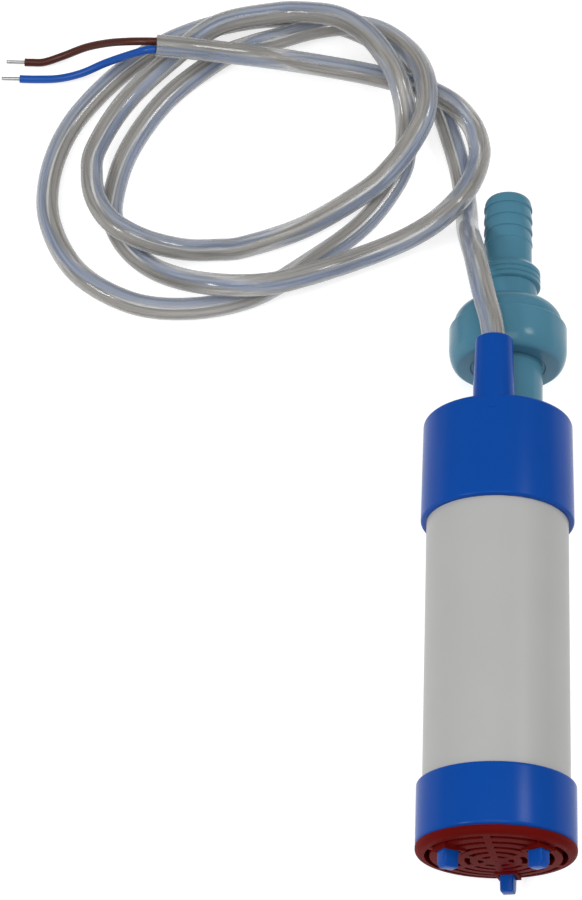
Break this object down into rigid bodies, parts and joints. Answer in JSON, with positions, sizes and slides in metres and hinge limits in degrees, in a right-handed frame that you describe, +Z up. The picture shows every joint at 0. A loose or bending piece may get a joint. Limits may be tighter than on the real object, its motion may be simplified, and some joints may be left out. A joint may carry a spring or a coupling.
{
  "type": "submersible water pump",
  "caption": "Slim in-tank water pump: tube between blue caps, slotted strainer on feet, ball check valve with a ribbed hose barb, and a loosely coiled clear two-core cable.",
  "frame": {"origin": "middle of the pump's length from the feet's tips to the barb's tip, on the floor under the pump's axis", "axes": "+Y along the pump from the strainer to the hose barb, +Z up from the floor it lies on, +X to the right seen from the strainer"},
  "size_m": [0.1691, 0.2745, 0.0418],
  "materials": {
    "red_plastic": "moulded dark red plastic",
    "blue_plastic": "moulded royal blue plastic",
    "grey_tube": "smooth pale grey plastic tube",
    "teal_plastic": "moulded teal plastic",
    "rubber": "black rubber",
    "dark_plastic": "black moulded plastic",
    "white_plastic": "off-white acetal",
    "steel": "bright steel",
    "ferrite": "grey ferrite magnet",
    "core_steel": "laminated core steel",
    "copper": "bare or enamelled copper",
    "bronze": "bronze",
    "carbon": "pressed carbon",
    "tinned_metal": "tinned brass or copper",
    "clear_pvc": "milky clear soft plastic over two cores",
    "core_brown": "brown soft plastic",
    "core_blue": "blue soft plastic"
  },
  "bodies": {
    "pump": {"bottom_cap": "blue_plastic", "bottom_gasket": "rubber", "housing_tube": "grey_tube", "top_gasket": "rubber", "top_cap": "blue_plastic", "shaft_seal": "rubber", "motor_pod": "dark_plastic", "pod_lid": "dark_plastic", "pod_seal": "rubber", "motor_can": "steel", "motor_magnets": "ferrite", "front_bush": "bronze", "rear_bush": "bronze", "end_bell": "white_plastic", "brushes": "carbon", "brush_arms": "bronze", "terminals": "tinned_metal", "motor_leads": "core_brown", "lead_grommet": "rubber", "cable_entry": "clear_pvc", "valve_body": "teal_plastic", "seat_seal": "rubber", "valve_outlet": "teal_plastic", "socket_seal": "rubber", "cable_lead": "clear_pvc", "cable_loops": "clear_pvc", "cable_tail": "clear_pvc", "brown_core": "core_brown", "blue_core": "core_blue", "brown_tip": "tinned_metal", "blue_tip": "tinned_metal"},
    "rotor": {"motor_shaft": "steel", "impeller": "white_plastic", "armature_core": "core_steel", "armature_windings": "copper", "commutator": "copper"},
    "strainer": {"strainer": "red_plastic"},
    "ball": {"valve_ball": "white_plastic"}
  },
  "joints": [
    {"name": "rotor_spin", "type": "hinge", "parent": "pump", "child": "rotor", "pos_m": [0, 0, 0.0212], "axis": [0, 1, 0], "continuous": true},
    {"name": "ball_lift", "type": "slide", "parent": "pump", "child": "ball", "axis": [0, 1, 0], "range_m": [0, 0.004]},
    {"name": "strainer_pull", "type": "slide", "parent": "pump", "child": "strainer", "axis": [0, -1, 0], "range_m": [0, 0.012]}
  ]
}
